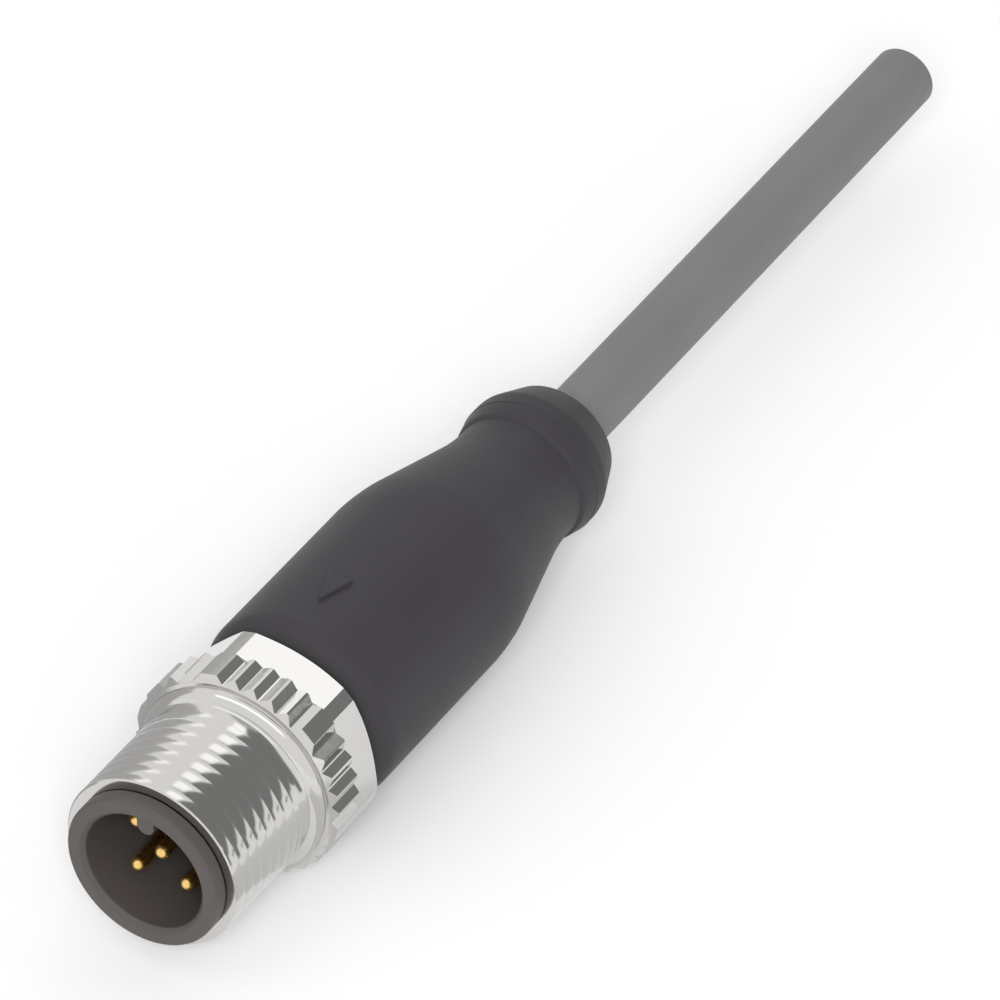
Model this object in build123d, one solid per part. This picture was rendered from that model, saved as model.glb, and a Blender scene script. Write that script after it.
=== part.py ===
from build123d import *
import os
from math import cos, pi, radians, sin, tan

# Straight male M12 screw plug, A-coded with five contacts, moulded onto a five-core cable.
# Lengths in millimetres. The plug's axis is Y: the mating face is at y = 0 and faces -Y, the cable
# leaves towards +Y, and +Z is up, on the side of the coding key.

# Coupling screw: every diameter follows from the thread
THREAD_D = 12.0
SCREW_WALL = 1.15
RUNNING_CLEARANCE = 0.05
FRONT_FLOAT = 0.05
FRONT_LAND = 0.9
LEAD_LENGTH = 0.35
THREAD_LENGTH = 7.35
RUNOUT_DEPTH = 0.25
FLARE_R = 0.8
SHOULDER_RISE = 0.8
SHOULDER_CHAMFER_LENGTH = 0.6
SHOULDER_LENGTH = 0.25
BORE_CHAMFER = 0.2

# Knurled ring and hexagon of the coupling screw
KNURL_RISE = 0.45
KNURL_LENGTH = 2.65
KNURL_LEAD = 0.35
GROOVE_DEPTH = 0.36
GROOVE_LAND = 0.1
GROOVE_PITCH_DEG = 10.4
GROOVES_PER_FLAT = 5
HEX_DEPTH = 0.75
HEX_LENGTH = 2.75
HEX_CHAMFER_DEG = 30.0
HEX_CORNER_DEG = 45.0
HEX_SIDES = 6

# Contact carrier
BARREL_WALL = 0.7
LIP_OVERHANG = 0.5
LIP_LENGTH = 1.1
LIP_CHAMFER = 0.15
CAVITY_DEPTH = 9.0
CAVITY_LEAD_IN = 0.3
KEY_WIDTH = 1.2
KEY_HEIGHT = 1.45
KEY_RECESS = 0.6
ANCHOR_FRONT_LAND = 1.6
ANCHOR_GROOVE_LENGTH = 1.6
ANCHOR_GROOVE_DEPTH = 0.7
ANCHOR_REAR_LAND = 1.4

# Contact pins
PIN_D = 1.0
PIN_CIRCLE_D = 5.0
PIN_RECESS = 2.15
PIN_TIP_CHAMFER = 0.3
CUP_D = 1.4
CUP_LENGTH = 3.5
CUP_SEAT = 1.6
OUTER_PIN_DEGS = (45.0, 135.0, 225.0, 315.0)

# Overmoulded grip
REAR_FLOAT = 0.5
GRIP_D = 13.53
NOSE_R = 1.95
BODY_LENGTH = 16.57
TAPER_LENGTH = 9.15
NECK_D = 9.14
SHOULDER_R = 13.3
WAIST_R = 12.7
NECK_LENGTH = 3.15
FLARE_RISE = 0.38
COLLAR_STEP = 0.09
COLLAR_LENGTH = 1.06
TAIL_LENGTH = 2.47
TAIL_DROP = 1.01
TAIL_ROUND = 0.12

# Cable
CABLE_LENGTH = 45.6
JACKET_D = 4.4
JACKET_EMBED = 10.7
CORE_D = 1.1
CORE_GAP = 0.15
CORE_CLEARANCE = 0.08
CONDUCTOR_D = 0.65
CONDUCTOR_SIDES = 6
CORE_COUNT = 5
CORE_FIRST_DEG = 54.0
STRIP_LENGTH = 1.2

# Places along the axis
SCREW_FRONT = LIP_LENGTH + FRONT_FLOAT
THREAD_END = SCREW_FRONT + THREAD_LENGTH
FLARE_START = THREAD_END + RUNOUT_DEPTH
FLARE_END = FLARE_START + FLARE_R
SHOULDER_START = FLARE_END + SHOULDER_CHAMFER_LENGTH
KNURL_START = SHOULDER_START + SHOULDER_LENGTH
HEX_START = KNURL_START + KNURL_LENGTH
SCREW_REAR = HEX_START + HEX_LENGTH
GRIP_FRONT = SCREW_REAR + REAR_FLOAT
ANCHOR_START = GRIP_FRONT + ANCHOR_FRONT_LAND
ANCHOR_END = ANCHOR_START + ANCHOR_GROOVE_LENGTH
CARRIER_REAR = ANCHOR_END + ANCHOR_REAR_LAND
CUP_END = CARRIER_REAR + CUP_LENGTH
BODY_END = GRIP_FRONT + BODY_LENGTH
TAPER_END = BODY_END + TAPER_LENGTH
COLLAR_FRONT = TAPER_END + NECK_LENGTH
COLLAR_REAR = COLLAR_FRONT + COLLAR_LENGTH
GRIP_REAR = COLLAR_REAR + TAIL_LENGTH
JACKET_FRONT = GRIP_REAR - JACKET_EMBED
CABLE_END = GRIP_REAR + CABLE_LENGTH

# Radii that follow from the sizes above
THREAD_R = THREAD_D / 2
BORE_R = THREAD_R - SCREW_WALL
FLARE_EDGE_R = THREAD_R - RUNOUT_DEPTH + FLARE_R
SHOULDER_R_OUT = THREAD_R + SHOULDER_RISE
KNURL_R = SHOULDER_R_OUT + KNURL_RISE
GROOVE_R = KNURL_R - GROOVE_DEPTH
HEX_R = KNURL_R - HEX_DEPTH
BARREL_R = BORE_R - RUNNING_CLEARANCE
LIP_R = BARREL_R + LIP_OVERHANG
CAVITY_R = BARREL_R - BARREL_WALL
ANCHOR_R = BARREL_R - ANCHOR_GROOVE_DEPTH
PIN_R = PIN_D / 2
CONDUCTOR_R = CONDUCTOR_D / 2
CORE_R = CORE_D / 2
CORE_RING_R = (CORE_D + CORE_GAP) / (2 * sin(pi / CORE_COUNT))
JACKET_R = JACKET_D / 2
JACKET_BORE_R = CORE_RING_R + CORE_R + CORE_CLEARANCE
GRIP_R = GRIP_D / 2
NECK_R = NECK_D / 2
COLLAR_R = NECK_R + FLARE_RISE + COLLAR_STEP
TAIL_R = COLLAR_R - TAIL_DROP

# How far a cutting tool reaches past what it cuts
OVERCUT = 1.0


def turned(outline):
    """Revolve a closed half outline, x the radius and y along the plug, about the plug's axis."""
    return revolve(make_face(outline), axis=Axis.Y)


def across(sketch, start, end):
    """Extrude a sketch drawn across the plug, local x along X and local y along Z, from start to end."""
    return extrude(Plane.XZ.offset(-start) * sketch, amount=start - end)


def rod(radius, start, end):
    """A round bar on the plug's axis."""
    return across(Circle(radius), start, end)


def polar(radius, angle_deg):
    """The X and Z of a point at a radius and an angle counted from +X towards +Z."""
    angle = radians(angle_deg)
    return radius * cos(angle), radius * sin(angle)


def pin_places():
    """The X and Z of each contact: four on the circle, then the one in the centre."""
    circle = [polar(PIN_CIRCLE_D / 2, angle) for angle in OUTER_PIN_DEGS]
    return circle + [(0.0, 0.0)]


def core_places():
    """The X and Z of each core in the cable, in the order of the contacts: the lowest goes to the centre."""
    step = 360 / CORE_COUNT
    ring = [polar(CORE_RING_R, CORE_FIRST_DEG + step * index) for index in range(CORE_COUNT)]
    upper_right, upper_left, left, lowest, right = ring
    return [upper_right, upper_left, left, right, lowest]


def make_pin():
    """A contact pin on the axis: chamfered tip, shank through the carrier and a solder cup behind it."""
    outline = Polyline(
        (0, PIN_RECESS),
        (PIN_R - PIN_TIP_CHAMFER, PIN_RECESS),
        (PIN_R, PIN_RECESS + PIN_TIP_CHAMFER),
        (PIN_R, CARRIER_REAR),
        (CUP_D / 2, CARRIER_REAR),
        (CUP_D / 2, CUP_END),
        (0, CUP_END),
        close=True,
    )
    return turned(outline)


def wire(section, core_place, pin_place, reach):
    """A wire from its solder cup to the cable's cut end; it starts at a reach in front of the cup's mouth."""
    core_x, core_z = core_place
    pin_x, pin_z = pin_place
    mouth = Vector(pin_x, CUP_END, pin_z)
    bend = Vector(core_x, JACKET_FRONT, core_z)
    front = mouth + (mouth - bend).normalized() * reach
    path = Polyline(front, bend, (core_x, CABLE_END, core_z))
    placed = Plane(origin=path @ 0, z_dir=path % 0) * section
    return sweep(placed, path=path, transition=Transition.RIGHT)


def make_carrier_blank():
    """The insulating insert before its contacts are set: front lip, barrel, cavity and coding key."""
    outline = Polyline(
        (0, CAVITY_DEPTH),
        (CAVITY_R, CAVITY_DEPTH),
        (CAVITY_R, CAVITY_LEAD_IN),
        (CAVITY_R + CAVITY_LEAD_IN, 0),
        (LIP_R - LIP_CHAMFER, 0),
        (LIP_R, LIP_CHAMFER),
        (LIP_R, LIP_LENGTH),
        (BARREL_R, LIP_LENGTH),
        (BARREL_R, ANCHOR_START),
        (ANCHOR_R, ANCHOR_START),
        (ANCHOR_R, ANCHOR_END),
        (BARREL_R, ANCHOR_END),
        (BARREL_R, CARRIER_REAR),
        (0, CARRIER_REAR),
        close=True,
    )
    nose = KEY_WIDTH / 2
    key_tip = CAVITY_R - KEY_HEIGHT
    key_root = CAVITY_R + BARREL_WALL / 2
    stem_height = key_root - key_tip - nose
    stem = Pos(0, key_root - stem_height / 2) * Rectangle(KEY_WIDTH, stem_height)
    key = across(stem + Pos(0, key_tip + nose) * Circle(nose), KEY_RECESS, CAVITY_DEPTH)
    return turned(outline) + key


def make_screw_blank():
    """The turned coupling screw before its hexagon and knurl are cut."""
    chamfer_length = HEX_DEPTH * tan(radians(HEX_CHAMFER_DEG))
    front = Polyline(
        (BORE_R, SCREW_REAR - BORE_CHAMFER),
        (BORE_R, SCREW_FRONT + BORE_CHAMFER),
        (BORE_R + BORE_CHAMFER, SCREW_FRONT),
        (BORE_R + FRONT_LAND, SCREW_FRONT),
        (THREAD_R, SCREW_FRONT + LEAD_LENGTH),
        (THREAD_R, THREAD_END),
        (THREAD_R - RUNOUT_DEPTH, FLARE_START),
    )
    flare = RadiusArc((THREAD_R - RUNOUT_DEPTH, FLARE_START), (FLARE_EDGE_R, FLARE_END), FLARE_R)
    rear = Polyline(
        (FLARE_EDGE_R, FLARE_END),
        (SHOULDER_R_OUT, SHOULDER_START),
        (SHOULDER_R_OUT, KNURL_START),
        (KNURL_R, KNURL_START + KNURL_LEAD),
        (KNURL_R, SCREW_REAR - chamfer_length),
        (HEX_R, SCREW_REAR),
        (BORE_R + BORE_CHAMFER, SCREW_REAR),
        (BORE_R, SCREW_REAR - BORE_CHAMFER),
    )
    return turned(front + flare + rear)


def hex_cutter():
    """What is milled off behind the knurl: all that lies outside the hexagon."""
    hexagon = RegularPolygon(HEX_R, HEX_SIDES, major_radius=False, rotation=HEX_CORNER_DEG)
    return across(Circle(KNURL_R + OVERCUT) - hexagon, HEX_START, SCREW_REAR + OVERCUT)


def knurl_cutters():
    """The grooves of the knurl: a row centred on each flat of the hexagon, none over its corners."""
    half_top = KNURL_R * sin(radians(GROOVE_PITCH_DEG / 2)) - GROOVE_LAND / 2
    half_bottom = GROOVE_LAND / 2
    spread = (half_top - half_bottom) / GROOVE_DEPTH * (GROOVE_DEPTH + OVERCUT)
    groove = make_face(
        Polyline(
            (GROOVE_R, -half_bottom),
            (KNURL_R + OVERCUT, -half_bottom - spread),
            (KNURL_R + OVERCUT, half_bottom + spread),
            (GROOVE_R, half_bottom),
            close=True,
        )
    )
    flat_step = 360 / HEX_SIDES
    first_flat = HEX_CORNER_DEG + flat_step / 2
    middle = (GROOVES_PER_FLAT - 1) / 2
    angles = [
        first_flat + flat_step * side + GROOVE_PITCH_DEG * (index - middle)
        for side in range(HEX_SIDES)
        for index in range(GROOVES_PER_FLAT)
    ]
    return [across(Rot(0, 0, angle) * groove, KNURL_START, HEX_START) for angle in angles]


def make_grip_blank():
    """The overmould before what it holds is taken out: rounded nose, body, taper, neck and rear collar."""
    taper_deg = Vector(GRIP_R - NECK_R, TAPER_LENGTH).get_angle(Vector(0, 1))
    neck_start = TAPER_END + WAIST_R * tan(radians(taper_deg / 2))
    flank = FilletPolyline(
        (0, GRIP_FRONT),
        (GRIP_R, GRIP_FRONT),
        (GRIP_R, BODY_END),
        (NECK_R, TAPER_END),
        (NECK_R, COLLAR_FRONT),
        radius=[NOSE_R, SHOULDER_R, WAIST_R],
    )
    flank = flank.edges().sort_by(Axis.Y)[:-1]
    flare = TangentArc((NECK_R, neck_start), (NECK_R + FLARE_RISE, COLLAR_FRONT), tangent=(0, 1))
    collar = Polyline(
        (NECK_R + FLARE_RISE, COLLAR_FRONT),
        (COLLAR_R, COLLAR_FRONT),
        (COLLAR_R, COLLAR_REAR),
        (TAIL_R, GRIP_REAR - TAIL_ROUND),
        (TAIL_R - TAIL_ROUND, GRIP_REAR),
        (0, GRIP_REAR),
        (0, GRIP_FRONT),
    )
    return turned(Curve() + flank + flare + collar)


def make_parts():
    """Every piece of the plug, by the name of its node."""
    pins = [Pos(x, 0, z) * make_pin() for x, z in pin_places()]
    routes = list(zip(core_places(), pin_places()))
    strands = RegularPolygon(CONDUCTOR_R, CONDUCTOR_SIDES)
    conductors = [wire(strands, core, pin, CUP_SEAT) for core, pin in routes]
    cores = [wire(Circle(CORE_R), core, pin, -STRIP_LENGTH) for core, pin in routes]
    jacket = rod(JACKET_R, JACKET_FRONT, CABLE_END) - rod(JACKET_BORE_R, JACKET_FRONT, CABLE_END)
    carrier_blank = make_carrier_blank()

    grip = make_grip_blank() - rod(JACKET_R, JACKET_FRONT, GRIP_REAR + OVERCUT)
    grip = grip - [carrier_blank] - pins - cores - conductors

    nodes = {
        "contact_carrier": carrier_blank - pins,
        "coupling_screw": make_screw_blank() - hex_cutter() - knurl_cutters(),
        "grip": grip,
        "cable_jacket": jacket,
    }
    for number, (pin, core, conductor) in enumerate(zip(pins, cores, conductors), start=1):
        nodes[f"contact_pin_{number}"] = pin - conductor
        nodes[f"core_{number}"] = core - conductor
        nodes[f"conductor_{number}"] = conductor
    return nodes


os.makedirs("parts", exist_ok=True)
for name, shape in make_parts().items():
    export_step(shape, f"parts/{name}.step")
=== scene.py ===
"""Looks of a straight male M12 plug: detailed meshes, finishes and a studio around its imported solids."""
import logging
import math
from dataclasses import dataclass
from enum import Enum

import bmesh
import bpy
from mathutils import Matrix, Vector


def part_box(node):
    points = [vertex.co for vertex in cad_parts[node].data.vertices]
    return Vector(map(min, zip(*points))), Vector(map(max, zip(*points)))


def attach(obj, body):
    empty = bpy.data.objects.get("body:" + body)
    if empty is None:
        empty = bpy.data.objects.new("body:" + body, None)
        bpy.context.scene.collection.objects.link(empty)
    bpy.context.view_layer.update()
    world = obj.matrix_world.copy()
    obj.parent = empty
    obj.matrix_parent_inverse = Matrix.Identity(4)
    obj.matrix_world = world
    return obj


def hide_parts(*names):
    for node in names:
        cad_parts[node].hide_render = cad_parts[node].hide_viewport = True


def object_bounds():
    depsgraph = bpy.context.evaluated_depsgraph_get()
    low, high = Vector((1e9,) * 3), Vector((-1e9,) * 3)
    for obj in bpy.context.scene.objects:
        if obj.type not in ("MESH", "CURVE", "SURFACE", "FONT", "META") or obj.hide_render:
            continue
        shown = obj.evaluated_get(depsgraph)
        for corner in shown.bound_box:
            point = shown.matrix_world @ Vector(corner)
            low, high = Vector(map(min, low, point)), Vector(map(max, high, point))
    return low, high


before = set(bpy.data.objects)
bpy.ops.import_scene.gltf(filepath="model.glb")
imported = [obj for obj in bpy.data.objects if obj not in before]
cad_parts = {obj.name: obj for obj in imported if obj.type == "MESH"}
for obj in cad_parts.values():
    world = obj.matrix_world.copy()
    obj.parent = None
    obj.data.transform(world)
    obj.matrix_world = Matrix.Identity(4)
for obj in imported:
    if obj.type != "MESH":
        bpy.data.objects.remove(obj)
cad_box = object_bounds()

LOG = logging.getLogger("plug")
MM = 0.001
FULL_TURN = 2 * math.pi
PLUG_AXIS = Vector((0.0, 1.0, 0.0))
WELD_MM = 0.0005
SLICE_MM = 0.00005
FLAT_LIMIT_DEG = 0.5
SHARP_DEG = 28.0
CARRIED_NORMALS = "custom_normal"

FACING_AXIS = Matrix.Rotation(math.pi / 2, 4, "X")
WHITE = (1.0, 1.0, 1.0, 1.0)
BLACK = (0.0, 0.0, 0.0, 1.0)

Colour = tuple[float, float, float]
Place = tuple[float, float, float]
Point = tuple[float, float]
Outline = list[Point]
Loop = list[bmesh.types.BMEdge]


class Body(Enum):
    """The two bodies of the plug."""

    PLUG = "plug"
    SCREW = "screw"


class Slot(Enum):
    """The material slots of the record."""

    CARRIER = "carrier_plastic"
    GOLD = "gold_plate"
    NICKEL = "nickel_plate"
    GRIP = "grip_plastic"
    JACKET = "jacket_plastic"
    COPPER = "copper"


class Drop(Enum):
    """Which side of a cut across the axis is taken away, as its sign along the axis."""

    NOTHING = 0
    FRONT = -1
    REAR = 1


class Rays(Enum):
    """The kinds of ray that see the studio's backdrop as it is meant to look."""

    CAMERA = "Is Camera Ray"
    GLOSSY = "Is Glossy Ray"
    TRANSMISSION = "Is Transmission Ray"


# Shader groups and finishes


class ShaderGroups:
    """The surface effects that several finishes share, each built once as a node group."""

    GRAIN_DETAIL: float = 3.0
    GRAIN_ROUGHNESS: float = 0.55
    GRAIN_RANGE: Point = (0.3, 0.7)
    DRIFT_DETAIL: float = 2.0
    DRIFT_RANGE: Point = (0.25, 0.75)
    LINE_DETAIL: float = 2.0

    def __init__(self) -> None:
        """Builds the three groups."""
        self.grain = self._grain()
        self.drift = self._drift()
        self.lines = self._lines()

    @staticmethod
    def _new(name: str, inputs: dict[str, str], outputs: dict[str, str]) -> bpy.types.NodeTree:
        """Starts a group with named sockets.

        Args:
            name: The group's name.
            inputs: Socket type of each input, by name.
            outputs: Socket type of each output, by name.

        Returns:
            The group, with its input and output nodes placed.
        """
        group = bpy.data.node_groups.new(name, "ShaderNodeTree")
        for label, kind in inputs.items():
            group.interface.new_socket(name=label, in_out="INPUT", socket_type=kind)
        for label, kind in outputs.items():
            group.interface.new_socket(name=label, in_out="OUTPUT", socket_type=kind)
        group.nodes.new("NodeGroupInput").name = "In"
        group.nodes.new("NodeGroupOutput").name = "Out"
        return group

    def _grain(self) -> bpy.types.NodeTree:
        """Fine surface grain: a height for a bump and a roughness between two levels.

        Returns:
            The group.
        """
        group = self._new(
            "surface_grain",
            {"Vector": "NodeSocketVector", "Scale": "NodeSocketFloat", "Low": "NodeSocketFloat",
             "High": "NodeSocketFloat"},
            {"Height": "NodeSocketFloat", "Roughness": "NodeSocketFloat"},
        )
        start, end = group.nodes["In"], group.nodes["Out"]
        noise = group.nodes.new("ShaderNodeTexNoise")
        noise.inputs["Detail"].default_value = self.GRAIN_DETAIL
        noise.inputs["Roughness"].default_value = self.GRAIN_ROUGHNESS
        level = group.nodes.new("ShaderNodeMapRange")
        level.inputs["From Min"].default_value, level.inputs["From Max"].default_value = self.GRAIN_RANGE
        link = group.links.new
        link(start.outputs["Vector"], noise.inputs["Vector"])
        link(start.outputs["Scale"], noise.inputs["Scale"])
        link(noise.outputs["Fac"], level.inputs["Value"])
        link(start.outputs["Low"], level.inputs["To Min"])
        link(start.outputs["High"], level.inputs["To Max"])
        link(noise.outputs["Fac"], end.inputs["Height"])
        link(level.outputs["Result"], end.inputs["Roughness"])
        return group

    def _drift(self) -> bpy.types.NodeTree:
        """Slow drift of tone over a piece: the colour, a little lighter here and darker there.

        Returns:
            The group.
        """
        group = self._new(
            "tone_drift",
            {"Vector": "NodeSocketVector", "Colour": "NodeSocketColor", "Scale": "NodeSocketFloat",
             "Amount": "NodeSocketFloat"},
            {"Colour": "NodeSocketColor"},
        )
        start, end = group.nodes["In"], group.nodes["Out"]
        noise = group.nodes.new("ShaderNodeTexNoise")
        noise.inputs["Detail"].default_value = self.DRIFT_DETAIL
        swing = group.nodes.new("ShaderNodeMapRange")
        swing.inputs["From Min"].default_value, swing.inputs["From Max"].default_value = self.DRIFT_RANGE
        tinted = group.nodes.new("ShaderNodeVectorMath")
        tinted.operation = "SCALE"
        link = group.links.new
        link(start.outputs["Vector"], noise.inputs["Vector"])
        link(start.outputs["Scale"], noise.inputs["Scale"])
        link(noise.outputs["Fac"], swing.inputs["Value"])
        for limit, operation in (("To Min", "SUBTRACT"), ("To Max", "ADD")):
            tone = group.nodes.new("ShaderNodeMath")
            tone.operation = operation
            tone.inputs[0].default_value = 1.0
            link(start.outputs["Amount"], tone.inputs[1])
            link(tone.outputs["Value"], swing.inputs[limit])
        link(start.outputs["Colour"], tinted.inputs[0])
        link(swing.outputs["Result"], tinted.inputs["Scale"])
        link(tinted.outputs["Vector"], end.inputs["Colour"])
        return group

    def _lines(self) -> bpy.types.NodeTree:
        """Fine lines left by a die or a cutting tool: a height that runs along one direction.

        Returns:
            The group.
        """
        group = self._new(
            "tool_lines",
            {"Vector": "NodeSocketVector", "Stretch": "NodeSocketVector"},
            {"Height": "NodeSocketFloat"},
        )
        start, end = group.nodes["In"], group.nodes["Out"]
        stretched = group.nodes.new("ShaderNodeVectorMath")
        stretched.operation = "MULTIPLY"
        noise = group.nodes.new("ShaderNodeTexNoise")
        noise.inputs["Scale"].default_value = 1.0
        noise.inputs["Detail"].default_value = self.LINE_DETAIL
        link = group.links.new
        link(start.outputs["Vector"], stretched.inputs[0])
        link(start.outputs["Stretch"], stretched.inputs[1])
        link(stretched.outputs["Vector"], noise.inputs["Vector"])
        link(noise.outputs["Fac"], end.inputs["Height"])
        return group


@dataclass(frozen=True)
class Finish:
    """A surface finish: a colour that drifts, a roughness with grain and fine lines from its making.

    Scales are in features per metre, and bump depths in metres.
    """

    name: str
    colour: Colour
    metallic: float
    rough_low: float
    rough_high: float
    grain_scale: float
    grain_depth: float
    drift_scale: float
    drift_amount: float
    line_stretch: Place
    line_depth: float
    specular: float = 0.5

    def material(self, groups: ShaderGroups) -> bpy.types.Material:
        """Builds the finish as a material.

        Args:
            groups: The shared surface effects.

        Returns:
            The material, ready to place on a piece.
        """
        made, shader = plain_material(self.name)
        nodes, link = made.node_tree.nodes, made.node_tree.links.new
        shader.inputs["Metallic"].default_value = self.metallic
        shader.inputs["Specular IOR Level"].default_value = self.specular
        place = nodes.new("ShaderNodeTexCoord").outputs["Object"]
        drift = self._placed(nodes, groups.drift, Colour=(*self.colour, 1.0), Scale=self.drift_scale,
                             Amount=self.drift_amount)
        grain = self._placed(nodes, groups.grain, Scale=self.grain_scale, Low=self.rough_low,
                             High=self.rough_high)
        lines = self._placed(nodes, groups.lines, Stretch=self.line_stretch)
        for group in (drift, grain, lines):
            link(place, group.inputs["Vector"])
        line_bump = nodes.new("ShaderNodeBump")
        line_bump.inputs["Distance"].default_value = self.line_depth
        grain_bump = nodes.new("ShaderNodeBump")
        grain_bump.inputs["Distance"].default_value = self.grain_depth
        link(lines.outputs["Height"], line_bump.inputs["Height"])
        link(grain.outputs["Height"], grain_bump.inputs["Height"])
        link(line_bump.outputs["Normal"], grain_bump.inputs["Normal"])
        link(drift.outputs["Colour"], shader.inputs["Base Color"])
        link(grain.outputs["Roughness"], shader.inputs["Roughness"])
        link(grain_bump.outputs["Normal"], shader.inputs["Normal"])
        return made

    @staticmethod
    def _placed(
        nodes: bpy.types.Nodes, group: bpy.types.NodeTree, **values: float | tuple[float, ...]
    ) -> bpy.types.Node:
        """Places a shared group among a material's nodes.

        Args:
            nodes: The material's nodes.
            group: The shared group.
            values: What its inputs are set to, by name.

        Returns:
            The new node.
        """
        node = nodes.new("ShaderNodeGroup")
        node.node_tree = group
        for label, value in values.items():
            node.inputs[label].default_value = value
        return node


ACROSS_AXIS = (0.0, 9000.0, 0.0)
ALONG_AXIS = (2600.0, 60.0, 2600.0)
UNLINED = (400.0, 400.0, 400.0)

NICKEL = Finish("nickel_plate", (0.63, 0.62, 0.605), 1.0, 0.10, 0.15, 2500.0, 0.0000002,
                90.0, 0.02, ACROSS_AXIS, 0.0000004)
GOLD = Finish("gold_plate", (0.92, 0.62, 0.22), 1.0, 0.24, 0.34, 3000.0, 0.0000004,
              300.0, 0.04, ACROSS_AXIS, 0.0000006)
GRIP = Finish("grip_plastic", (0.046, 0.0425, 0.047), 0.0, 0.46, 0.56, 7000.0, 0.000005,
              160.0, 0.05, UNLINED, 0.000004, 0.2)
CARRIER = Finish("carrier_plastic", (0.078, 0.068, 0.064), 0.0, 0.44, 0.54, 6000.0, 0.000004,
                 200.0, 0.04, UNLINED, 0.000003)
JACKET = Finish("jacket_plastic", (0.172, 0.172, 0.170), 0.0, 0.50, 0.62, 5000.0, 0.000004,
                120.0, 0.05, ALONG_AXIS, 0.00001)
COPPER = Finish("bare_copper", (0.86, 0.44, 0.25), 1.0, 0.22, 0.34, 4000.0, 0.000001,
                600.0, 0.06, ALONG_AXIS, 0.000001)
CORE_COLOURS: dict[str, Colour] = {
    "core_1": (0.16, 0.07, 0.03),
    "core_2": (0.80, 0.80, 0.78),
    "core_3": (0.03, 0.12, 0.45),
    "core_4": (0.02, 0.02, 0.02),
    "core_5": (0.30, 0.30, 0.30),
}


def core_finish(node: str) -> Finish:
    """The finish of one core's insulation, in its own colour."""
    return Finish(f"{node}_insulation", CORE_COLOURS[node], 0.0, 0.40, 0.50, 6000.0, 0.000002,
                  300.0, 0.05, ALONG_AXIS, 0.000004)


# Mesh helpers: sizes in millimetres, axis along Y


def draw_line(bm: bmesh.types.BMesh, outline: Outline) -> list[bmesh.types.BMVert]:
    """Draws an open line of points, each a radius and a place along the axis.

    Args:
        bm: The mesh to draw in.
        outline: The points, from first to last.

    Returns:
        The new vertices, in order.
    """
    verts = [bm.verts.new((radius, along, 0.0)) for radius, along in outline]
    for first, second in zip(verts, verts[1:]):
        bm.edges.new((first, second))
    return verts


def round_corner(bm: bmesh.types.BMesh, corner: bmesh.types.BMVert, reach: float, segments: int) -> None:
    """Rounds a corner of a drawn line.

    Args:
        bm: The mesh that holds the line.
        corner: The corner's vertex.
        reach: How far from the corner the arc starts and ends.
        segments: The arc's segments.
    """
    bmesh.ops.bevel(bm, geom=[corner], offset=reach, offset_type="OFFSET", affect="VERTICES",
                    segments=segments, profile=0.5, material=-1)


def lathe(bm: bmesh.types.BMesh, steps: int) -> None:
    """Turns everything drawn so far about the plug's axis and closes its seam and poles."""
    bmesh.ops.spin(bm, geom=bm.verts[:] + bm.edges[:], cent=(0, 0, 0), axis=PLUG_AXIS, dvec=(0, 0, 0),
                   angle=FULL_TURN, steps=steps, use_merge=True)
    weld(bm)


def weld(bm: bmesh.types.BMesh) -> None:
    """Merges doubles and turns all faces outwards."""
    bmesh.ops.remove_doubles(bm, verts=bm.verts[:], dist=WELD_MM)
    bmesh.ops.recalc_face_normals(bm, faces=bm.faces[:])


def node_mesh(node: str) -> bmesh.types.BMesh:
    """A copy of a CAD node's mesh in millimetres, welded, with its flat faces whole.

    Args:
        node: The node's name.

    Returns:
        The new mesh.
    """
    bm = bmesh.new()
    bm.from_mesh(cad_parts[node].data)
    bmesh.ops.scale(bm, vec=(1 / MM, 1 / MM, 1 / MM), verts=bm.verts[:])
    bmesh.ops.remove_doubles(bm, verts=bm.verts[:], dist=WELD_MM)
    bmesh.ops.dissolve_limit(bm, angle_limit=math.radians(FLAT_LIMIT_DEG), verts=bm.verts[:],
                             edges=bm.edges[:])
    return bm


def slice_across(bm: bmesh.types.BMesh, along: float, drop: Drop) -> None:
    """Cuts a mesh square to the axis.

    Args:
        bm: The mesh.
        along: The cut's place along the axis.
        drop: Which side of the cut is taken away.
    """
    way = drop.value or Drop.REAR.value
    bmesh.ops.bisect_plane(bm, geom=bm.verts[:] + bm.edges[:] + bm.faces[:], dist=SLICE_MM,
                           plane_co=PLUG_AXIS * along, plane_no=PLUG_AXIS * way,
                           clear_outer=drop is not Drop.NOTHING)


def round_edges(
    bm: bmesh.types.BMesh, edges: Loop, width: float, segments: int, clamp: bool = False
) -> None:
    """Bevels some edges of a mesh.

    Args:
        bm: The mesh.
        edges: The edges.
        width: The bevel's width.
        segments: The bevel's segments.
        clamp: Whether the bevel stops where it would meet another.
    """
    bmesh.ops.bevel(bm, geom=edges, offset=width, offset_type="OFFSET", affect="EDGES", segments=segments,
                    profile=0.5, material=-1, clamp_overlap=clamp)


def soften_edges(bm: bmesh.types.BMesh, width: float, sharper_than_deg: float, segments: int) -> None:
    """Bevels the hard edges of a mesh.

    Args:
        bm: The mesh.
        width: The bevel's width.
        sharper_than_deg: Edges that turn more than this are bevelled.
        segments: The bevel's segments.
    """
    limit = math.radians(sharper_than_deg)
    hard = [edge for edge in bm.edges if edge.is_manifold and edge.calc_face_angle() > limit]
    round_edges(bm, hard, width, segments, clamp=True)


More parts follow.
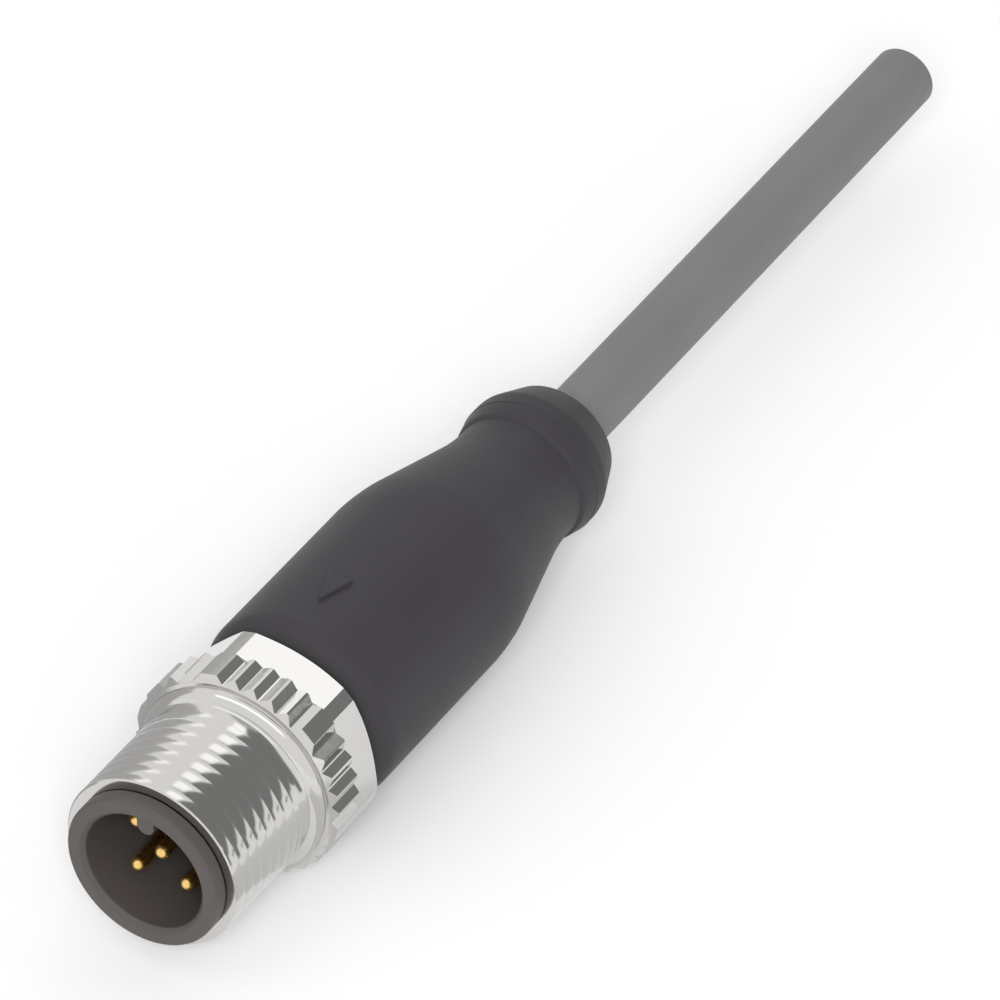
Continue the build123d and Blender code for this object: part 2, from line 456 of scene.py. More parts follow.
def boundary(bm: bmesh.types.BMesh, along: float, radius: float, slack: float) -> Loop:
    """The open edges of a mesh that lie on one circle about the axis.

    Args:
        bm: The mesh.
        along: The circle's place along the axis.
        radius: The circle's radius.
        slack: How far an edge's middle may lie from the circle.

    Returns:
        The edges.
    """
    found = []
    for edge in bm.edges:
        middle = (edge.verts[0].co + edge.verts[1].co) / 2
        off = abs(math.hypot(middle.x, middle.z) - radius)
        if edge.is_boundary and abs(middle.y - along) < slack and off < slack:
            found.append(edge)
    return found


def grow_loop(bm: bmesh.types.BMesh, loop: Loop, radius: float, along: float) -> Loop:
    """Extrudes an open round loop to another radius and another place along the axis.

    Args:
        bm: The mesh.
        loop: The loop's edges.
        radius: The new radius.
        along: The new place along the axis.

    Returns:
        The edges of the new loop.
    """
    grown = bmesh.ops.extrude_edge_only(bm, edges=loop)["geom"]
    for vert in (item for item in grown if isinstance(item, bmesh.types.BMVert)):
        ratio = radius / math.hypot(vert.co.x, vert.co.z)
        vert.co = Vector((vert.co.x * ratio, along, vert.co.z * ratio))
    return [item for item in grown if isinstance(item, bmesh.types.BMEdge) and item.is_boundary]


def finished(bm: bmesh.types.BMesh, name: str) -> bpy.types.Mesh:
    """Turns a bmesh into a mesh.

    Args:
        bm: The bmesh, which is used up.
        name: The mesh's name.

    Returns:
        The mesh.
    """
    mesh = bpy.data.meshes.new(name)
    bm.to_mesh(mesh)
    bm.free()
    return mesh


def place_object(name: str, data: bpy.types.ID) -> bpy.types.Object:
    """Puts an object into the scene.

    Args:
        name: The object's name.
        data: Its mesh, lamp or camera.

    Returns:
        The object.
    """
    placed = bpy.data.objects.new(name, data)
    bpy.context.scene.collection.objects.link(placed)
    return placed


def plain_material(name: str) -> tuple[bpy.types.Material, bpy.types.Node]:
    """Starts a material.

    Args:
        name: The material's name.

    Returns:
        The material and its shader.
    """
    made = bpy.data.materials.new(name)
    made.use_nodes = True
    return made, made.node_tree.nodes["Principled BSDF"]


def shade(mesh: bpy.types.Mesh, sharp_deg: float) -> None:
    """Smooths a mesh's shading, except across its sharp edges.

    Args:
        mesh: The mesh.
        sharp_deg: Edges that turn more than this stay sharp.
    """
    for face in mesh.polygons:
        face.use_smooth = True
    mesh.set_sharp_from_angle(angle=math.radians(sharp_deg))


def make_piece(
    bm: bmesh.types.BMesh,
    name: str,
    material: bpy.types.Material,
    body: Body,
    slot: Slot,
    *nodes: str,
    sharp_deg: float = SHARP_DEG,
) -> bpy.types.Object:
    """Turns a finished mesh into a piece of the object.

    Args:
        bm: The mesh in millimetres, which is used up.
        name: The piece's name.
        material: Its material.
        body: The body that it moves with.
        slot: The record's slot that its finish belongs to. Not used.
        nodes: The CAD nodes that it stands for.
        sharp_deg: Edges that turn more than this stay sharp.

    Returns:
        The piece.
    """
    bmesh.ops.scale(bm, vec=(MM, MM, MM), verts=bm.verts[:])
    mesh = finished(bm, name)
    if CARRIED_NORMALS in mesh.attributes:
        mesh.attributes.remove(mesh.attributes[CARRIED_NORMALS])
    shade(mesh, sharp_deg)
    mesh.materials.append(material)
    piece = place_object(name, mesh)
    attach(piece, body.value)
    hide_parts(*nodes)
    LOG.info("%s: %d faces on %s", name, len(mesh.polygons), body.value)
    return piece


def keep_faces_flat(piece: bpy.types.Object) -> None:
    """Lets large flat faces keep their own shading, so that only the bevels between them turn."""
    even = piece.modifiers.new("flat_faces", "WEIGHTED_NORMAL")
    even.keep_sharp = True


# Sub-assemblies


@dataclass
class CouplingScrew:
    """The nickel-plated screw: a rolled thread in front, then flare, knurl and hexagon. Sizes in mm."""

    thread_radius: float = 6.0
    pitch: float = 1.0
    crown_tilt_deg: float = 10.0
    crown_segments: int = 6
    steps: int = 180
    bore_radius: float = 4.85
    bore_chamfer: float = 0.2
    front_land: float = 1.05
    lead_length: float = 0.1
    thread_length: float = 7.35
    runout_depth: float = 0.25
    relief_length: float = 0.7
    relief_tilt_deg: float = 13.0
    fillet_radius: float = 0.25
    fillet_tilt_deg: float = 70.0
    bead_radius: float = 6.55
    bead_tilt_deg: float = 8.0
    knurl_foot: float = 6.8
    arc_segments: int = 12
    cut: float = 10.365
    cut_gap: float = 0.02
    loop_slack: float = 0.05
    sharp_deg: float = 14.0

    def __post_init__(self) -> None:
        """Reads where the screw lies from its solid."""
        self.front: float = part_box("coupling_screw")[0].y / MM
        self.tip_radius: float = self.bore_radius + self.front_land
        self.thread_end: float = self.front + self.thread_length
        self.flare_start: float = self.thread_end + self.runout_depth

    def thread_line(self) -> Outline:
        """Crowned crests that meet in sharp creases, one after another, long enough for a helix.

        Returns:
            The thread's outline.
        """
        tilt = math.radians(self.crown_tilt_deg)
        bow_radius = self.pitch / 2 / math.sin(tilt)
        points: Outline = []
        along = self.front - 2 * self.pitch
        while along < self.flare_start + self.pitch:
            for index in range(self.crown_segments):
                lean = tilt * (2 * index / self.crown_segments - 1)
                radius = self.thread_radius - bow_radius * (1 - math.cos(lean))
                points.append((radius, along + self.pitch / 2 + bow_radius * math.sin(lean)))
            along += self.pitch
        return points

    def envelope(self, along: float) -> float:
        """The largest radius that the lead-in cone and the run-out leave.

        Args:
            along: The place along the axis.

        Returns:
            The radius there.
        """
        lead_slope = (self.thread_radius - self.tip_radius) / self.lead_length
        lead = self.tip_radius + lead_slope * (along - self.front)
        runout = self.thread_radius - max(0.0, along - self.thread_end)
        return min(lead, runout)

    def build_front(self) -> bmesh.types.BMesh:
        """The thread as a helix, trimmed by its lead-in and run-out, with rim, bore, flare and bead.

        Returns:
            The open front half of the screw.
        """
        bm = bmesh.new()
        draw_line(bm, self.thread_line())
        bmesh.ops.spin(bm, geom=bm.verts[:] + bm.edges[:], cent=(0, 0, 0), axis=PLUG_AXIS,
                       dvec=PLUG_AXIS * (self.pitch / self.steps), angle=FULL_TURN, steps=self.steps)
        bmesh.ops.remove_doubles(bm, verts=bm.verts[:], dist=WELD_MM)
        slice_across(bm, self.front + self.lead_length, Drop.NOTHING)
        slice_across(bm, self.thread_end, Drop.NOTHING)
        slice_across(bm, self.front, Drop.FRONT)
        slice_across(bm, self.flare_start, Drop.REAR)
        for vert in bm.verts:
            radius = math.hypot(vert.co.x, vert.co.z)
            ratio = min(1.0, self.envelope(vert.co.y) / radius)
            vert.co = Vector((vert.co.x * ratio, vert.co.y, vert.co.z * ratio))
        self._grow_rim(bm)
        self._grow_flare(bm)
        return bm

    def _grow_rim(self, bm: bmesh.types.BMesh) -> None:
        """Adds the front rim and the bore, back to the cut.

        Args:
            bm: The mesh of the screw's front.
        """
        loop = boundary(bm, self.front, self.tip_radius, self.loop_slack)
        loop = grow_loop(bm, loop, self.bore_radius + self.bore_chamfer, self.front)
        loop = grow_loop(bm, loop, self.bore_radius, self.front + self.bore_chamfer)
        grow_loop(bm, loop, self.bore_radius, self.cut)

    def _grow_arc(
        self, bm: bmesh.types.BMesh, loop: Loop, start: Point, bend: float, tilts: tuple[float, float]
    ) -> tuple[Loop, Point]:
        """Grows a loop along an arc of the outline.

        Args:
            bm: The mesh.
            loop: The loop's edges.
            start: The arc's first radius and place along the axis.
            bend: The arc's own radius.
            tilts: The outline's tilt to the axis at the arc's start and end, in degrees.

        Returns:
            The edges of the last loop, with its radius and place along the axis.
        """
        first, last = (math.radians(tilt) for tilt in tilts)
        way = math.copysign(bend, last - first)
        radius, along = start
        reached = start
        for index in range(1, self.arc_segments + 1):
            tilt = first + (last - first) * index / self.arc_segments
            reached = (radius + way * (math.cos(first) - math.cos(tilt)),
                       along + way * (math.sin(tilt) - math.sin(first)))
            loop = grow_loop(bm, loop, *reached)
        return loop, reached

    def _grow_flare(self, bm: bmesh.types.BMesh) -> None:
        """Adds the relief behind the thread, its fillet and the rounded bead after it, back to the cut.

        Args:
            bm: The mesh of the screw's front.
        """
        start = (self.thread_radius - self.runout_depth, self.flare_start)
        loop = boundary(bm, self.flare_start, start[0], self.loop_slack)
        relief = self.relief_length / math.sin(math.radians(self.relief_tilt_deg))
        loop, reached = self._grow_arc(bm, loop, start, relief, (0.0, self.relief_tilt_deg))
        loop, reached = self._grow_arc(bm, loop, reached, self.fillet_radius,
                                       (self.relief_tilt_deg, self.fillet_tilt_deg))
        span = math.cos(math.radians(self.bead_tilt_deg)) - math.cos(math.radians(self.fillet_tilt_deg))
        bead = (self.bead_radius - reached[0]) / span
        loop, reached = self._grow_arc(bm, loop, reached, bead, (self.fillet_tilt_deg, self.bead_tilt_deg))
        grow_loop(bm, loop, self.bead_radius, self.cut)

    def build_rear(self) -> bmesh.types.BMesh:
        """The knurl and the hexagon, cut from the solid behind the bead.

        Returns:
            The open rear half of the screw.
        """
        bm = node_mesh("coupling_screw")
        slice_across(bm, self.cut + self.cut_gap, Drop.FRONT)
        return bm

    def build(self, material: bpy.types.Material) -> bpy.types.Object:
        """Joins front and rear into one closed mesh and places it.

        Args:
            material: The plated finish.

        Returns:
            The screw.
        """
        bm = self.build_rear()
        front = finished(self.build_front(), "screw_front")
        bm.from_mesh(front)
        bpy.data.meshes.remove(front)
        for ahead, behind in ((self.bead_radius, self.knurl_foot), (self.bore_radius, self.bore_radius)):
            rings = boundary(bm, self.cut, ahead, self.cut_gap / 2)
            rings += boundary(bm, self.cut + self.cut_gap, behind, self.cut_gap / 2)
            bmesh.ops.bridge_loops(bm, edges=rings)
        weld(bm)
        return make_piece(bm, "coupling_screw_plated", material, Body.SCREW, Slot.NICKEL, "coupling_screw",
                          sharp_deg=self.sharp_deg)


@dataclass
class ContactInsert:
    """The insulating carrier and its gold contacts. Sizes in mm."""

    edge_width: float = 0.07
    edge_angle_deg: float = 24.0
    edge_segments: int = 3
    pin_count: int = 5
    pin_radius: float = 0.5
    tip_rise: float = 0.2
    cup_radius: float = 0.7
    cup_length: float = 3.5
    cup_wall: float = 0.2
    cup_depth: float = 2.0
    pin_steps: int = 40
    dome_segments: int = 8
    dome_share: float = 0.999

    def build_carrier(self, material: bpy.types.Material) -> bpy.types.Object:
        """The carrier: its solid with rounded moulded edges.

        Args:
            material: The moulded finish.

        Returns:
            The carrier.
        """
        bm = node_mesh("contact_carrier")
        soften_edges(bm, self.edge_width, self.edge_angle_deg, self.edge_segments)
        weld(bm)
        carrier = make_piece(bm, "carrier_moulding", material, Body.PLUG, Slot.CARRIER, "contact_carrier")
        keep_faces_flat(carrier)
        return carrier

    def build_pin(self, number: int, material: bpy.types.Material) -> bpy.types.Object:
        """One contact: domed tip, shank and solder cup.

        Args:
            number: Which contact, from one.
            material: The plated finish.

        Returns:
            The contact.
        """
        node = f"contact_pin_{number}"
        low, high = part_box(node)
        tip, rear = low.y / MM - self.tip_rise, high.y / MM
        cup_start, cup_floor = rear - self.cup_length, rear - self.cup_depth
        cup_bore = self.cup_radius - self.cup_wall
        bm = bmesh.new()
        _, dome, *_ = draw_line(bm, [
            (0.0, tip), (self.pin_radius, tip), (self.pin_radius, cup_start), (self.cup_radius, cup_start),
            (self.cup_radius, rear), (cup_bore, rear), (cup_bore, cup_floor), (0.0, cup_floor),
        ])
        round_corner(bm, dome, self.pin_radius * self.dome_share, self.dome_segments)
        lathe(bm, self.pin_steps)
        middle = (low + high) / 2 / MM
        bmesh.ops.translate(bm, vec=(middle.x, 0.0, middle.z), verts=bm.verts[:])
        return make_piece(bm, f"{node}_plated", material, Body.PLUG, Slot.GOLD, node)

    def build(self, carrier: bpy.types.Material, plate: bpy.types.Material) -> None:
        """Builds the carrier and all contacts.

        Args:
            carrier: The moulded finish.
            plate: The plated finish.
        """
        self.build_carrier(carrier)
        for number in range(1, self.pin_count + 1):
            self.build_pin(number, plate)


@dataclass
class MouldedGrip:
    """The overmoulded grip with its waist, its rear collar and the key mark on top. Sizes in mm."""

    body_radius: float = 6.765
    nose_radius: float = 1.95
    body_length: float = 16.57
    taper_length: float = 9.15
    neck_radius: float = 4.57
    shoulder_bow: float = 13.3
    waist_bow: float = 12.7
    neck_length: float = 3.15
    flare_rise: float = 0.44
    collar_step: float = 0.03
    collar_length: float = 1.06
    crease_width: float = 0.05
    crease_depth: float = 0.006
    bead_start: float = 1.3
    bead_rise: float = 0.2
    bead_run: float = 0.13
    bead_root: float = 0.04
    bead_round: float = 0.18
    tail_drop: float = 1.01
    tail_round: float = 0.25
    tail_edge: float = 0.12
    tail_segments: int = 4
    bore_radius: float = 4.8
    bore_depth: float = 4.6
    cable_radius: float = 2.2
    cable_depth: float = 10.7
    steps: int = 224
    arc_segments: int = 14
    longest_run: float = 6.0
    straight_cuts: int = 24
    mark_sides: int = 3
    mark_tip: float = 3.9
    mark_length: float = 2.6
    mark_half_width: float = 0.87
    mark_rise: float = 0.26
    mark_root: float = 0.4
    mark_edge: float = 0.07
    mark_segments: int = 3

    def __post_init__(self) -> None:
        """Reads where the grip lies from its solid."""
        low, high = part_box("grip")
        self.front: float = low.y / MM
        self.rear: float = high.y / MM

    def outline(self, bm: bmesh.types.BMesh) -> None:
        """Draws the grip's half section, with its arcs, from the cable's bed round to the bore's floor.

        Args:
            bm: The mesh to draw in.
        """
        body_end = self.front + self.body_length
        taper_end = body_end + self.taper_length
        collar = taper_end + self.neck_length
        flare_radius = self.neck_radius + self.flare_rise
        collar_radius = flare_radius + self.collar_step
        bow = math.tan(math.atan2(self.body_radius - self.neck_radius, self.taper_length) / 2)
        line = draw_line(bm, [
            (self.bore_radius, self.front), (self.body_radius, self.front), (self.body_radius, body_end),
            (self.neck_radius, taper_end), (self.neck_radius, collar - self.bead_start),
            (self.neck_radius + self.bead_rise, collar - self.bead_start + self.bead_run),
            (flare_radius, collar - self.crease_width), (flare_radius - self.crease_depth, collar),
            (collar_radius, collar + self.crease_width / 2), (collar_radius, collar + self.collar_length),
            (collar_radius - self.tail_drop, self.rear), (self.cable_radius, self.rear),
            (self.cable_radius, self.rear - self.cable_depth), (0.0, self.rear - self.cable_depth),
        ])
        mouth, nose, shoulder, waist, bead_foot, bead_top, _, _, _, tail, tail_rim, *_ = line
        *_, bore_mouth = draw_line(bm, [
            (0.0, self.front + self.bore_depth), (self.bore_radius, self.front + self.bore_depth),
            (self.bore_radius, self.front),
        ])
        round_corner(bm, nose, self.nose_radius, self.arc_segments)
        round_corner(bm, shoulder, self.shoulder_bow * bow, self.arc_segments)
        round_corner(bm, waist, self.waist_bow * bow, self.arc_segments)
        round_corner(bm, bead_foot, self.bead_root, self.arc_segments)
        round_corner(bm, bead_top, self.bead_round, self.arc_segments)
        round_corner(bm, tail, self.tail_round, self.tail_segments)
        round_corner(bm, tail_rim, self.tail_edge, self.tail_segments)
        bmesh.ops.remove_doubles(bm, verts=[mouth, bore_mouth], dist=WELD_MM)
        straight = [edge for edge in bm.edges if edge.calc_length() > self.longest_run]
        bmesh.ops.subdivide_edges(bm, edges=straight, cuts=self.straight_cuts)

    def mark_block(self) -> bpy.types.Object:
        """A triangular block for the key mark, rooted in the grip.

        Returns:
            The block, to be removed after use.
        """
        bm = bmesh.new()
        bmesh.ops.create_circle(bm, cap_ends=True, segments=self.mark_sides, radius=1.0,
                                matrix=Matrix.Rotation(math.pi, 4, "Z"))
        tip = min(vert.co.y for vert in bm.verts)
        base = max(vert.co.y for vert in bm.verts)
        wide = max(vert.co.x for vert in bm.verts)
        stretch = self.mark_length / (base - tip)
        bmesh.ops.scale(bm, vec=(self.mark_half_width / wide, stretch, 1.0), verts=bm.verts[:])
        place = (0.0, self.front + self.mark_tip - tip * stretch, self.body_radius - self.mark_root)
        bmesh.ops.translate(bm, vec=place, verts=bm.verts[:])
        grown = bmesh.ops.extrude_face_region(bm, geom=bm.faces[:])["geom"]
        top = [item for item in grown if isinstance(item, bmesh.types.BMVert)]
        bmesh.ops.translate(bm, vec=(0.0, 0.0, self.mark_root + self.mark_rise), verts=top)
        bmesh.ops.recalc_face_normals(bm, faces=bm.faces[:])
        rim = [edge for edge in bm.edges if any(vert in top for vert in edge.verts)]
        round_edges(bm, rim, self.mark_edge, self.mark_segments)
        bmesh.ops.scale(bm, vec=(MM, MM, MM), verts=bm.verts[:])
        return place_object("key_mark", finished(bm, "key_mark"))

    def raise_mark(self, grip: bpy.types.Object) -> None:
        """Moulds the key mark, a plain triangle that points to the front, onto the top of the grip.

        Args:
            grip: The turned grip.
        """
        block = self.mark_block()
        joined = grip.modifiers.new("mark", "BOOLEAN")
        joined.operation = "UNION"
        joined.solver = "EXACT"
        joined.object = block
        bpy.context.view_layer.update()
        marked = bpy.data.meshes.new_from_object(grip.evaluated_get(bpy.context.evaluated_depsgraph_get()))
        grip.modifiers.clear()
        plain = grip.data
        grip.data = marked
        bpy.data.meshes.remove(plain)
        bpy.data.meshes.remove(block.data)
        marked.name = grip.name
        shade(marked, SHARP_DEG)

    def build(self, material: bpy.types.Material) -> bpy.types.Object:
        """Turns the grip and raises its mark.

        Args:
            material: The moulded finish.

        Returns:
            The grip.
        """
        bm = bmesh.new()
        self.outline(bm)
        lathe(bm, self.steps)
        grip = make_piece(bm, "grip_moulding", material, Body.PLUG, Slot.GRIP, "grip")
        self.raise_mark(grip)
        return grip


@dataclass
class Cable:
    """The straight cable: jacket, insulated cores and stranded conductors. Sizes in mm."""

    radius: float = 2.2
    wall_bore: float = 1.69
    embed: float = 1.0
    route_points: int = 4
    route_order: int = 3
    steps: int = 72
    rim_deg: float = 45.0
    edge_width: float = 0.06
    edge_segments: int = 2
    ring_radius: float = 1.0633
    core_degs: tuple[float, ...] = (54.0, 126.0, 198.0, 342.0, 270.0)
    strand_radius: float = 0.108
    strand_sides: int = 10
    strands_round: int = 6
    seat_depth: float = 1.6

    def __post_init__(self) -> None:
        """Reads where the cable lies from the solids."""
        self.exit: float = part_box("grip")[1].y / MM
        self.end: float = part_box("cable_jacket")[1].y / MM
        self.bend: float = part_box("cable_jacket")[0].y / MM

    def route(self) -> list[Vector]:
        """The cable's line, read from a smooth curve through the route's points.

        Returns:
            Points along the line, in metres.
        """
        data = bpy.data.curves.new("cable_route", "CURVE")
        data.dimensions = "3D"
        spline = data.splines.new("NURBS")
        spline.points.add(self.route_points - 1)
        start = self.exit - self.embed
        for index, point in enumerate(spline.points):
            along = start + (self.end - start) * index / (self.route_points - 1)
            point.co = (0.0, along * MM, 0.0, 1.0)
        spline.order_u = self.route_order
        spline.use_endpoint_u = True
        guide = bpy.data.objects.new("cable_route", data)
        line = bpy.data.meshes.new_from_object(guide)
        points = [vert.co.copy() for vert in line.vertices]
        bpy.data.meshes.remove(line)
        bpy.data.objects.remove(guide)
        bpy.data.curves.remove(data)
        return points

    def build_jacket(self, material: bpy.types.Material) -> bpy.types.Object:
        """The jacket: a tube along the route, cut square at its end.

        Args:
            material: The extruded finish.

        Returns:
            The jacket.
        """
        path = self.route()
        bm = bmesh.new()
        bmesh.ops.create_circle(bm, cap_ends=False, segments=self.steps, radius=self.radius,
                                matrix=Matrix.Translation(path[0] / MM) @ FACING_AXIS)
        loop = bm.edges[:]
        inner_start = path[0].y / MM
        for point in path[1:]:
            loop = grow_loop(bm, loop, self.radius, point.y / MM)
        loop = grow_loop(bm, loop, self.wall_bore, self.end)
        loop = grow_loop(bm, loop, self.wall_bore, inner_start)
        grow_loop(bm, loop, self.radius, inner_start)
        bmesh.ops.remove_doubles(bm, verts=bm.verts[:], dist=WELD_MM)
        rim = [edge for edge in bm.edges if edge.calc_face_angle(0.0) > math.radians(self.rim_deg)]
        round_edges(bm, rim, self.edge_width, self.edge_segments)
        weld(bm)
        jacket = make_piece(bm, "jacket_tube", material, Body.PLUG, Slot.JACKET, "cable_jacket")
        return jacket

    def build_conductor(self, number: int, material: bpy.types.Material) -> bpy.types.Object:
        """One conductor as a bundle of bare strands, from its solder cup to the cut end.

        Args:
            number: Which conductor, from one.
            material: The copper finish.

        Returns:
            The bundle.
        """
        pin_low, pin_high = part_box(f"contact_pin_{number}")
        pin = (pin_low + pin_high) / 2 / MM
        angle = math.radians(self.core_degs[number - 1])
        core = Vector((math.cos(angle), 0.0, math.sin(angle))) * self.ring_radius
        stations = [
            Vector((pin.x, pin_high.y / MM - self.seat_depth, pin.z)),
            Vector((core.x, self.bend, core.z)),
            Vector((core.x, self.end, core.z)),
        ]
        offsets = [Vector((0.0, 0.0, 0.0))]
        for index in range(self.strands_round):
            around = FULL_TURN * index / self.strands_round
            offsets.append(Vector((math.cos(around), 0.0, math.sin(around))) * 2 * self.strand_radius)
        bm = bmesh.new()
        for offset in offsets:
            place = Matrix.Translation(stations[0] + offset) @ FACING_AXIS
            made = bmesh.ops.create_circle(bm, cap_ends=True, segments=self.strand_sides,
                                           radius=self.strand_radius, matrix=place)
            face = made["verts"][0].link_faces[0]
            for here, there in zip(stations, stations[1:]):
                grown = bmesh.ops.extrude_discrete_faces(bm, faces=[face])["faces"]
                bmesh.ops.translate(bm, vec=there - here, verts=grown[0].verts[:])
                face = grown[0]
        bmesh.ops.recalc_face_normals(bm, faces=bm.faces[:])
        return make_piece(bm, f"strands_{number}", material, Body.PLUG, Slot.COPPER, f"conductor_{number}")

    def build(self, jacket: bpy.types.Material, copper: bpy.types.Material, groups: ShaderGroups) -> None:
        """Builds jacket and conductors, and dresses the cores.

        Args:
            jacket: The jacket's finish.
            copper: The conductors' finish.
            groups: The shared surface effects, for the cores' insulation.
        """
        self.build_jacket(jacket)
        for number, core in enumerate(CORE_COLOURS, start=1):
            self.build_conductor(number, copper)
            insulation = core_finish(core).material(groups)
            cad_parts[core].material_slots[0].material = insulation
            LOG.info("%s: insulation dressed", core)


# Studio


@dataclass(frozen=True)
class Softbox:
    """A soft lamp, which reflections may show or not. Lengths in metres, power in watts."""

    name: str
    place: Place
    width: float
    depth: float
    power: float
    mirrored: bool = True


@dataclass(frozen=True)
class Card:
    """A curved grey card that only reflections show. Angles run from +Y towards +X, lengths in metres."""

    name: str
    from_deg: float
    to_deg: float
    foot: float
    distance: float
    base: float
    height: float
    foot_tone: float
    top_tone: float
    base_drop: float = 0.0


BACK_BOX = Softbox("back_softbox", (-0.05, 0.9, 1.17), 0.36, 0.55, 0.3)
LEFT_BOX = Softbox("left_softbox", (-0.81, 1.0, 0.76), 0.3, 0.3, 0.1)
TOP_BOX = Softbox("top_softbox", (0.0, -0.55, 1.3), 2.2, 0.4, 1.95)
FILL_BOX = Softbox("fill_softbox", (0.6, -1.0, 0.94), 0.5, 0.5, 12.5, mirrored=False)
DARK_CARD = Card("dark_card", 11.0, 67.0, 0.7, 0.7, 0.16, 2.0, 0.245, 0.245, 0.2)
SIDE_CARD = Card("side_card", 58.0, 67.0, 0.06, 0.7, 0.0, 0.4, 0.245, 0.245)
FLOOR_CARD = Card("floor_card", 38.0, 48.0, 0.068, 0.09, 0.0002, 0.0004, 0.245, 0.245)
NEAR_CARD = Card("near_card", 15.0, 120.0, 0.012, 0.032, 0.0001, 0.0003, 0.7, 0.8)
LEFT_CARD = Card("left_card", -100.0, -38.0, 0.012, 0.8, 0.0, 0.42, 0.5, 1.0)
CEILING = Card("ceiling_card", -60.0, 60.0, 0.56, 0.15, 1.25, 1.4, 0.5, 0.7)


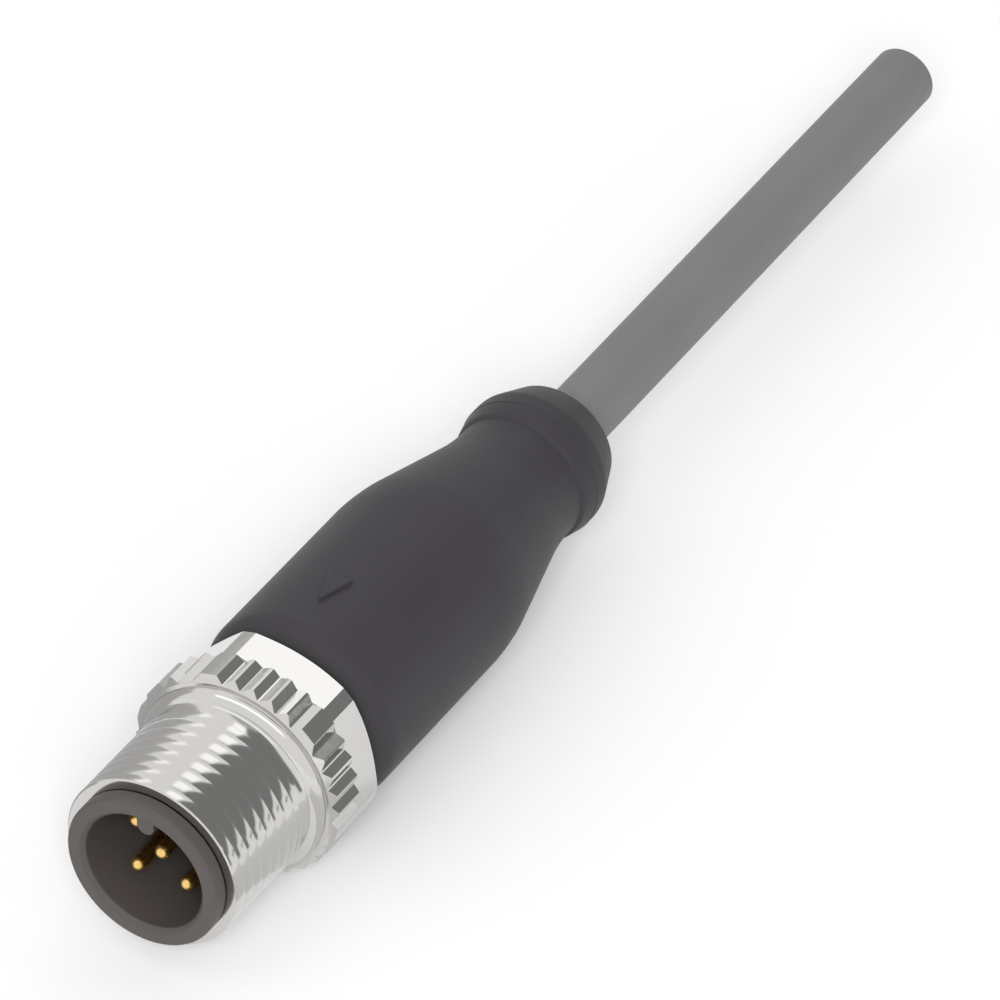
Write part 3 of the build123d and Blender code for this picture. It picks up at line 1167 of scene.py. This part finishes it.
@dataclass
class Studio:
    """Floor, backdrop, lights and camera. Lengths in metres."""

    floor_size: float = 6.0
    floor_tone: float = 0.86
    floor_roughness: float = 0.9
    floor_specular: float = 0.1
    floor_lift: float = 0.13
    world_tone: float = 1.0
    world_light: float = 0.65
    card_segments: int = 24
    foot_slack: float = 0.00001
    softboxes: tuple[Softbox, ...] = (BACK_BOX, LEFT_BOX, TOP_BOX, FILL_BOX)
    cards: tuple[Card, ...] = (DARK_CARD, SIDE_CARD, FLOOR_CARD, NEAR_CARD, LEFT_CARD, CEILING)
    camera_place: Place = (0.217646, -0.321993, 0.339478)
    camera_aim: Place = (0.000046, 0.041587, -0.000022)
    camera_lens: float = 311.2
    camera_sensor: float = 36.0

    def seen(self, tree: bpy.types.NodeTree) -> bpy.types.NodeSocket:
        """A socket that is one for the rays that show the backdrop, and zero for the rest.

        Args:
            tree: The node tree to place the nodes in.

        Returns:
            The socket.
        """
        path = tree.nodes.new("ShaderNodeLightPath")
        socket = path.outputs[Rays.CAMERA.value]
        for rays in (Rays.GLOSSY, Rays.TRANSMISSION):
            either = tree.nodes.new("ShaderNodeMath")
            either.operation = "MAXIMUM"
            tree.links.new(socket, either.inputs[0])
            tree.links.new(path.outputs[rays.value], either.inputs[1])
            socket = either.outputs["Value"]
        return socket

    def build_floor(self) -> bpy.types.Object:
        """A plain pale floor under the plug, white where nothing shades it.

        Returns:
            The floor.
        """
        bm = bmesh.new()
        place = Matrix.Translation((0.0, 0.0, cad_box[0].z))
        bmesh.ops.create_grid(bm, x_segments=1, y_segments=1, size=self.floor_size / 2, matrix=place)
        floor = place_object("studio_floor", finished(bm, "studio_floor"))
        pale, shader = plain_material("studio_floor")
        shader.inputs["Base Color"].default_value = (self.floor_tone,) * 3 + (1.0,)
        shader.inputs["Roughness"].default_value = self.floor_roughness
        shader.inputs["Specular IOR Level"].default_value = self.floor_specular
        lift = pale.node_tree.nodes.new("ShaderNodeMath")
        lift.operation = "MULTIPLY"
        lift.inputs[1].default_value = self.floor_lift
        pale.node_tree.links.new(self.seen(pale.node_tree), lift.inputs[0])
        shader.inputs["Emission Color"].default_value = WHITE
        pale.node_tree.links.new(lift.outputs["Value"], shader.inputs["Emission Strength"])
        floor.data.materials.append(pale)
        return floor

    def build_world(self) -> None:
        """White surroundings: full white where they are seen, a softer light elsewhere."""
        world = bpy.data.worlds.new("studio")
        world.use_nodes = True
        tree = world.node_tree
        strength = tree.nodes.new("ShaderNodeMapRange")
        strength.inputs["To Min"].default_value = self.world_light
        strength.inputs["To Max"].default_value = self.world_tone
        backdrop = tree.nodes["Background"]
        backdrop.inputs["Color"].default_value = WHITE
        tree.links.new(self.seen(tree), strength.inputs["Value"])
        tree.links.new(strength.outputs["Result"], backdrop.inputs["Strength"])
        bpy.context.scene.world = world

    def card_mesh(self, card: Card) -> bpy.types.Mesh:
        """Sweeps the upright edge of a card round the plug.

        Args:
            card: Where it stands.

        Returns:
            The card's mesh.
        """
        bm = bmesh.new()
        span_deg = card.to_deg - card.from_deg
        low = cad_box[0].z
        ends = ((card.foot, low + card.base), (card.distance, low + card.height))
        line = [bm.verts.new((0.0, away, height)) for away, height in ends]
        bm.edges.new(line)
        first = Matrix.Rotation(-math.radians(card.from_deg), 4, "Z")
        bmesh.ops.transform(bm, matrix=first, verts=bm.verts[:])
        bmesh.ops.spin(bm, geom=bm.verts[:] + bm.edges[:], cent=(0, 0, 0), axis=(0, 0, -1), dvec=(0, 0, 0),
                       angle=math.radians(span_deg), steps=self.card_segments)
        for vert in bm.verts:
            if math.isclose(vert.co.z, low + card.base, abs_tol=self.foot_slack):
                turned = math.degrees(math.atan2(vert.co.x, vert.co.y)) - card.from_deg
                vert.co.z -= card.base_drop * turned / span_deg
        return finished(bm, card.name)

    @staticmethod
    def card_grey(card: Card) -> bpy.types.Material:
        """A plain glow, graded from a card's foot to its top.

        Args:
            card: How light it is, and from where to where.

        Returns:
            The card's material.
        """
        low = cad_box[0].z
        grey, shader = plain_material(card.name)
        shader.inputs["Base Color"].default_value = BLACK
        shader.inputs["Specular IOR Level"].default_value = 0.0
        shader.inputs["Emission Strength"].default_value = 1.0
        link = grey.node_tree.links.new
        split = grey.node_tree.nodes.new("ShaderNodeSeparateXYZ")
        tone = grey.node_tree.nodes.new("ShaderNodeMapRange")
        tone.inputs["From Min"].default_value = low + card.base
        tone.inputs["From Max"].default_value = low + card.height
        tone.inputs["To Min"].default_value = card.foot_tone
        tone.inputs["To Max"].default_value = card.top_tone
        link(grey.node_tree.nodes.new("ShaderNodeTexCoord").outputs["Object"], split.inputs["Vector"])
        link(split.outputs["Z"], tone.inputs["Value"])
        link(tone.outputs["Result"], shader.inputs["Emission Color"])
        return grey

    def build_card(self, card: Card) -> bpy.types.Object:
        """Stands a grey card around the plug, which gives the metal its darker tones.

        Args:
            card: Where it stands and how light it is.

        Returns:
            The card.
        """
        stood = place_object(card.name, self.card_mesh(card))
        stood.data.materials.append(self.card_grey(card))
        stood.visible_camera = False
        stood.visible_diffuse = False
        stood.visible_shadow = False
        stood.visible_transmission = False
        return stood

    def aim(self, placed: bpy.types.Object, place: Place) -> None:
        """Moves a lamp or the camera to its place and turns it towards the plug's middle.

        Args:
            placed: The lamp or the camera.
            place: Where it goes.
        """
        placed.location = place
        way = Vector(self.camera_aim) - placed.location
        placed.rotation_euler = way.to_track_quat("-Z", "Y").to_euler()

    def build_lamp(self, box: Softbox) -> None:
        """Hangs a softbox that looks at the plug.

        Args:
            box: The softbox.
        """
        light = bpy.data.lights.new(box.name, "AREA")
        light.shape = "RECTANGLE"
        light.size = box.width
        light.size_y = box.depth
        light.energy = box.power
        lamp = place_object(box.name, light)
        self.aim(lamp, box.place)
        lamp.visible_glossy = box.mirrored

    def build_camera(self) -> None:
        """The camera at the picture's viewing angle."""
        data = bpy.data.cameras.new("view")
        data.lens = self.camera_lens
        data.sensor_width = self.camera_sensor
        camera = place_object("view", data)
        self.aim(camera, self.camera_place)
        bpy.context.scene.camera = camera

    def build(self) -> None:
        """Sets up the whole studio."""
        bpy.context.scene.view_settings.view_transform = "Standard"
        self.build_camera()
        self.build_floor()
        self.build_world()
        for card in self.cards:
            self.build_card(card)
        for box in self.softboxes:
            self.build_lamp(box)


def main() -> None:
    """Sets up the studio, then builds and dresses the plug in it, piece by piece."""
    logging.basicConfig(level=logging.INFO, format="%(name)s %(message)s")
    groups = ShaderGroups()
    Studio().build()
    Cable().build(JACKET.material(groups), COPPER.material(groups), groups)
    ContactInsert().build(CARRIER.material(groups), GOLD.material(groups))
    MouldedGrip().build(GRIP.material(groups))
    CouplingScrew().build(NICKEL.material(groups))


if __name__ == "__main__":
    main()
